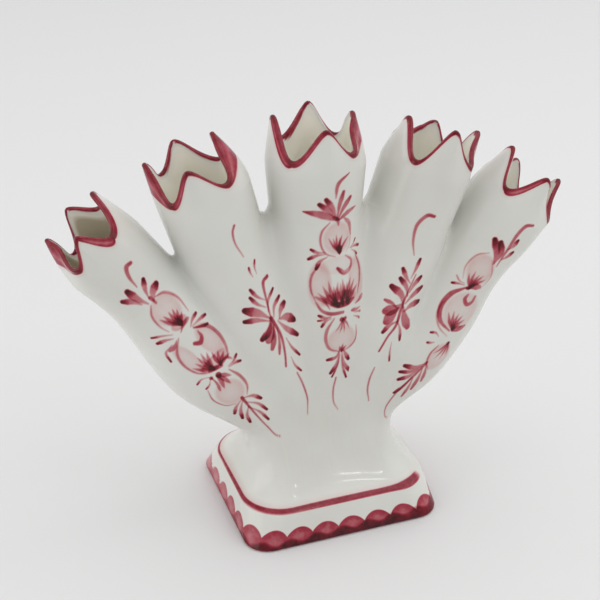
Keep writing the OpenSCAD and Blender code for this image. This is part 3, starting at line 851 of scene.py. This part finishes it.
def neck_ring(sheets):
    """the lowest row of all the sheets, once round from the left end, and the way the skin rises there"""
    ring, rise = [], []
    front, back = sheets[False], sheets[True]
    order = [(p, 1) for p in front] + [(p, -1) for p in reversed(back)]
    for (points, _), step in order:
        ring.append(points[0, ::step][:-1])
        rise.append((points[2] - points[0])[::step][:-1])
    ring, rise = np.concatenate(ring), np.concatenate(rise)
    return ring, rise / np.linalg.norm(rise, axis=1, keepdims=True)


def travelled(points):
    """distance along each column of points, from the first row"""
    steps = np.linalg.norm(np.diff(points, axis=0), axis=-1)
    return np.concatenate([np.zeros_like(steps[:1]), np.cumsum(steps, axis=0)])


def neck_and_foot(skin, sheets):
    """the cove from the lowest row of the sheets down to the crimson line, and the foot below it"""
    ring, rise = neck_ring(sheets)
    dx = ring[:, 0] * LINE_X / np.abs(ring[:, 0]).max()
    dy = ring[:, 1] * LINE_Y / np.abs(ring[:, 1]).max()

    def foot_ring(grow, z, to_base=0.0):
        """one level line of the foot; to_base is the share of the way from the line to the table"""
        half_x = LINE_X + (BASE_X - LINE_X) * to_base + grow
        half_y = LINE_Y + (BASE_Y - LINE_Y) * to_base + grow
        x, y = rounded_rect(dx, dy, half_x, half_y, LINE_R + (BASE_R - LINE_R) * to_base + grow)
        c, s = math.cos(math.radians(FOOT_TURN)), math.sin(math.radians(FOOT_TURN))
        return np.stack([FOOT_X + c * x - s * y, FOOT_Y + s * x + c * y, np.full_like(x, z)], axis=-1)

    seam = foot_ring(-SEAM_IN, LINE_Z + SEAM_UP)
    outer = foot_ring(PROBE, LINE_Z)
    inward = seam - outer
    inward[:, 2] = 0
    inward /= np.linalg.norm(inward, axis=1, keepdims=True)
    slope = math.radians(FLARE_SLOPE)
    start = inward * math.cos(slope) + np.array([0, 0, math.sin(slope)])
    length = np.linalg.norm(ring - seam, axis=1, keepdims=True)
    even = np.linspace(0, 1, NECK_ROWS + 1)[:, None, None]
    t = even - NECK_CROWDING * np.sin(2 * math.pi * even) / (2 * math.pi)
    h0, h1 = 2 * t**3 - 3 * t**2 + 1, t**3 - 2 * t**2 + t
    h2, h3 = -2 * t**3 + 3 * t**2, t**3 - t**2
    points = h0 * seam + h1 * FLARE_PULL * length * start + h2 * ring + h3 * NECK_PULL * length * rise
    points[0], points[-1] = seam, ring
    from_seam = travelled(points)
    ink = np.zeros(points.shape[:2])
    for i, (_, across) in enumerate(sheets[False]):
        columns = slice(i * FRONT_COLUMNS, (i + 1) * FRONT_COLUMNS)
        along = LOW_S - (from_seam[-1] - from_seam)[:, columns]
        ink[:, columns] = paint_sheet(i, np.broadcast_to(across[:-1], along.shape), along, False)
    front = share(inward[:, 1], FRONT_FROM, FRONT_FULL)
    ends = ease(share(inward[:, 0], LINE_END, LINE_END + LINE_FADE))
    width = LINE_WIDTH_SIDE + (LINE_WIDTH - LINE_WIDTH_SIDE) * front
    from_stop = inward[:, 0] - LINE_END - LINE_STOP_AT
    width = width + LINE_STOP * front * np.exp(-((from_stop / LINE_STOP_REACH) ** 2))
    ink += ends * (line_paint(from_seam, width) + HAZE * ease(share(from_seam, HAZE_REACH, 0.0)))
    skin.add_grid(points, "body", ink, closed=True)

    rows = [foot_ring(*edge) for edge in FOOT_EDGE]
    grow, low_z, low_share = FOOT_EDGE[-1]
    for k in np.linspace(0, 1, BAND_ROWS + 1)[1:]:
        to_base = low_share + (BAND_TOP - low_share) * k
        rows.append(foot_ring(grow, low_z + (LINE_Z - BAND_SHORT) * k, to_base))
    rows += [foot_ring(out, LINE_Z + up) for out, up in ARRIS] + [seam]
    points = np.stack(rows)
    from_seam = travelled(points[::-1])[::-1]
    base = foot_ring(0.0, 0.0, 1.0)
    along = travelled(base)
    round_length = along[-1] + np.linalg.norm(base[0] - base[-1])
    ink = scallop_paint(along / round_length, from_seam / from_seam[TABLE_ROW], front, base[:, 0] / BASE_X)
    ink[:TABLE_ROW] = 0.0
    skin.add_grid(points, "foot_plinth", ink + ends * line_paint(from_seam, width), closed=True)


def line_paint(off, width):
    """crimson line along the arris of the foot"""
    return ease(share(off, width / 2 + SOFT, width / 2 - SOFT))


def wobble(number, kind):
    """hand-made unevenness from -1 to 1, the same every time"""
    return math.sin(number * 12.9898 + kind * 78.233)


def scallop_paint(along, down, front, side):
    """row of overlapping petals round the band; along runs once round, down from the line to the table"""
    up = 1 - down
    ink = np.zeros(down.shape)
    pitch = 1.0 / SCALLOPS
    for number in range(SCALLOPS):
        centre = pitch * (number + SCALLOP_START + UNEVEN_PLACE * wobble(number, 1))
        half = pitch * (SCALLOP_HALF + UNEVEN_WIDTH * wobble(number, 2))
        top = SCALLOP_TOP * (1 + UNEVEN_HEIGHT * wobble(number, 3))
        off = (along - centre + 0.5) % 1.0 - 0.5
        dome = np.where(np.abs(off) < half, top * np.sqrt(np.maximum(1 - (off / half) ** 2, 0.0)), 0.0)
        petal = ease(share(up, dome + PETAL_EDGE, dome - PETAL_EDGE)) * (np.abs(off) < half)
        pale = np.exp(-((off / (PALE_WIDTH * half)) ** 2) - ((up - PALE_UP) / PALE_HEIGHT) ** 2)
        facing = PETAL_TONE_SIDE + (1 - PETAL_TONE_SIDE) * front
        ink = np.maximum(ink, petal * (PETAL_TONE - PALE_TONE * pale) * facing)
    wave = WAVE_UP + WAVE_TILT * side + WAVE_RISE * np.sin(along * SCALLOPS * 2 * math.pi)
    facing = WAVE_TONE_SIDE + (1 - WAVE_TONE_SIDE) * front
    ink += WAVE_TONE * ease(share(up, wave + WAVE_EDGE, wave - WAVE_EDGE)) * facing
    return ink * ease(share(up, BARE_BELOW, PAINTED_ABOVE))


def hex_colour(text):
    """linear colour from a screen colour"""
    parts = [int(text[k : k + 2], 16) / 255 for k in (0, 2, 4)]
    return [c / 12.92 if c <= 0.04045 else ((c + 0.055) / 1.055) ** 2.4 for c in parts] + [1.0]


def new_material(name, roughness):
    """a material with its nodes, links and shader"""
    material = bpy.data.materials.new(name)
    material.use_nodes = True
    nodes, links = material.node_tree.nodes, material.node_tree.links
    shader = nodes["Principled BSDF"]
    shader.inputs["Roughness"].default_value = roughness
    return material, nodes, links, shader


def ramp_colour(nodes, links, value, stops):
    """colour that a value picks from a ramp; each stop is a position and a screen colour"""
    ramp = nodes.new("ShaderNodeValToRGB")
    elements = ramp.color_ramp.elements
    while len(elements) < len(stops):
        elements.new(0.5)
    for element, (position, colour) in zip(elements, stops):
        element.position = position
        element.color = hex_colour(colour)
    links.new(value, ramp.inputs["Fac"])
    return ramp.outputs["Color"]


def glaze_material():
    """glossy white tin glaze over which the pigment attribute lays crimson in thinner and thicker coats, and
    painted light and shade in the bores
    """
    material, nodes, links, shader = new_material("white_glaze", GLAZE_ROUGHNESS)
    shader.inputs["Specular IOR Level"].default_value = GLAZE_SPECULAR

    def node(kind, **inputs):
        made = nodes.new(kind)
        for name, value in inputs.items():
            made.inputs[name].default_value = value
        return made

    def math_node(operation, first, second):
        made = nodes.new("ShaderNodeMath")
        made.operation = operation
        for socket, value in zip(made.inputs, (first, second)):
            if isinstance(value, float):
                socket.default_value = value
            else:
                links.new(value, socket)
        return made.outputs[0]

    place_in = nodes.new("ShaderNodeTexCoord").outputs["Object"]
    streaks = node("ShaderNodeTexNoise", Scale=STREAK_SCALE, Detail=3.0)
    clouds = node("ShaderNodeTexNoise", Scale=CLOUD_SCALE, Detail=2.0)
    ripple = node("ShaderNodeTexNoise", Scale=RIPPLE_SCALE, Detail=1.0)
    for texture in (streaks, clouds, ripple):
        links.new(place_in, texture.inputs["Vector"])

    pigment = nodes.new("ShaderNodeAttribute")
    pigment.attribute_name = "pigment"
    uneven = math_node("ADD", math_node("MULTIPLY", streaks.outputs["Fac"], COAT_RANGE), COAT_LEAST)
    coat = math_node("MULTIPLY", pigment.outputs["Fac"], uneven)
    crimson = ramp_colour(nodes, links, coat, COATS)
    white = ramp_colour(nodes, links, clouds.outputs["Fac"], WHITES)

    # in the bores the pigment is below zero and stands for painted light and shade over the glaze, deeper
    # into the bore
    depth = math_node("MULTIPLY", pigment.outputs["Fac"], -1.0)
    bore_light_shade = ramp_colour(nodes, links, depth, BORE_LIGHT_SHADE_RAMP)
    glaze_and_bore_shade = nodes.new("ShaderNodeMix")
    glaze_and_bore_shade.data_type = "RGBA"
    links.new(math_node("MULTIPLY", depth, BORE_LIGHT_SHADE_ONSET), glaze_and_bore_shade.inputs["Factor"])
    links.new(white, glaze_and_bore_shade.inputs["A"])
    links.new(bore_light_shade, glaze_and_bore_shade.inputs["B"])
    painted = nodes.new("ShaderNodeMix")
    painted.data_type, painted.blend_type = "RGBA", "MULTIPLY"
    painted.inputs["Factor"].default_value = 1.0
    links.new(glaze_and_bore_shade.outputs["Result"], painted.inputs["A"])
    links.new(crimson, painted.inputs["B"])
    links.new(painted.outputs["Result"], shader.inputs["Base Color"])

    bump = node("ShaderNodeBump", Strength=RIPPLE_STRENGTH, Distance=RIPPLE_HEIGHT)
    links.new(ripple.outputs["Fac"], bump.inputs["Height"])
    links.new(bump.outputs["Normal"], shader.inputs["Normal"])
    return material


def build_vase():
    """every glazed piece, each in place of the CAD node of its name"""
    skin = Skin()
    sheets = {False: [], True: []}
    for i in range(len(SPOUTS)):
        for back in (False, True):
            sheets[back].append(spout_sheet(skin, i, back))
    neck_and_foot(skin, sheets)
    skin.weld()
    glaze = glaze_material()
    for tag in sorted(set(skin.tags.tolist())):
        obj = skin.piece("glazed_" + tag, tag)
        obj.data.materials.append(glaze)
        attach(obj, "root")
        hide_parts(tag)


def build_stage():
    """pale table, studio walls and lamps"""
    material, _, _, shader = new_material("pale_table", TABLE_ROUGHNESS)
    shader.inputs["Base Color"].default_value = hex_colour(TABLE_COLOUR)
    mesh = bpy.data.meshes.new("table")
    corners = [(x * TABLE_HALF, y * TABLE_HALF, 0) for x, y in ((-1, -1), (1, -1), (1, 1), (-1, 1))]
    mesh.from_pydata(corners, [], [(0, 1, 2, 3)])
    mesh.materials.append(material)
    table = add_object("table", mesh)

    world = bpy.data.worlds.new("studio")
    world.use_nodes = True
    nodes, links = world.node_tree.nodes, world.node_tree.links
    nodes["Background"].inputs["Color"].default_value = (1, 1, 1, 1)
    depth = nodes.new("ShaderNodeSeparateXYZ")
    level = nodes.new("ShaderNodeMapRange")
    level.inputs["From Min"].default_value = -1.0
    level.inputs["To Min"].default_value = STUDIO_FRONT
    level.inputs["To Max"].default_value = STUDIO_BACK
    links.new(nodes.new("ShaderNodeTexCoord").outputs["Generated"], depth.inputs["Vector"])
    links.new(depth.outputs["Y"], level.inputs["Value"])
    links.new(level.outputs["Result"], nodes["Background"].inputs["Strength"])
    bpy.context.scene.world = world
    for name, (location, size, energy) in LAMPS.items():
        lamp = bpy.data.lights.new(name, "AREA")
        lamp.shape, lamp.energy = "RECTANGLE", energy
        lamp.size, lamp.size_y = size
        look_at(add_object(name, lamp), location, LAMP_AIM)


def build_camera():
    """the camera of the photograph"""
    data = bpy.data.cameras.new("photo_view")
    data.sensor_width, data.lens = SENSOR, LENS
    camera = add_object("photo_view", data)
    look_at(camera, Vector(EYE) * MM, Vector(AIM) * MM)
    bpy.context.scene.camera = camera


def finish_cad_nodes():
    """the floor slab inside the foot stays as the CAD drew it, in bare clay"""
    material, nodes, links, shader = new_material("bare_clay", CLAY_ROUGHNESS)
    noise = nodes.new("ShaderNodeTexNoise")
    noise.inputs["Scale"].default_value = CLAY_SCALE
    links.new(ramp_colour(nodes, links, noise.outputs["Fac"], CLAYS), shader.inputs["Base Color"])
    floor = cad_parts["foot_floor"]
    floor.data.materials.clear()
    floor.data.materials.append(material)


build_vase()
finish_cad_nodes()
build_stage()
build_camera()
bpy.context.scene.view_settings.view_transform = "Standard"
